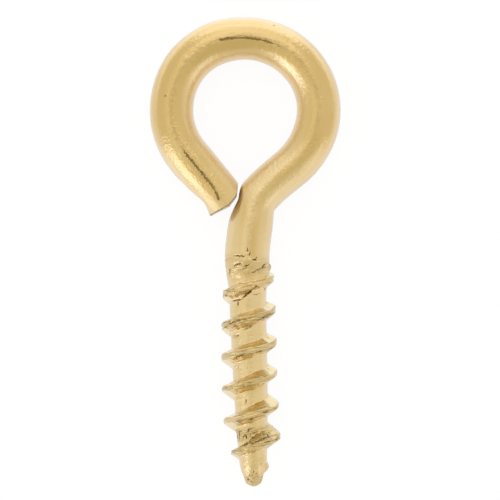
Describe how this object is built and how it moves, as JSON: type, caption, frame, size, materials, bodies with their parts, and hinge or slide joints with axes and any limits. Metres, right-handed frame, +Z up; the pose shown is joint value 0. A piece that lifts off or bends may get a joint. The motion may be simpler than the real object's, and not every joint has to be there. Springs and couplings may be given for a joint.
{
  "type": "screw eye",
  "caption": "Brass screw eye: wire bent into a closed round eye on a short plain shank, with a coarse wood-screw thread below.",
  "frame": {"origin": "middle of the bounding box at floor level, which lies on the eye's centre line in X", "axes": "+Y from the tip to the eye, +X across the eye towards the neck's side, +Z up from the floor, square to the eye's plane but for the slight tilt of rest"},
  "size_m": [0.0162, 0.04, 0.0048],
  "materials": {
    "brass": "bright, lightly drawn and pressed"
  },
  "bodies": {
    "root": {"screw_eye": "brass"}
  },
  "joints": []
}
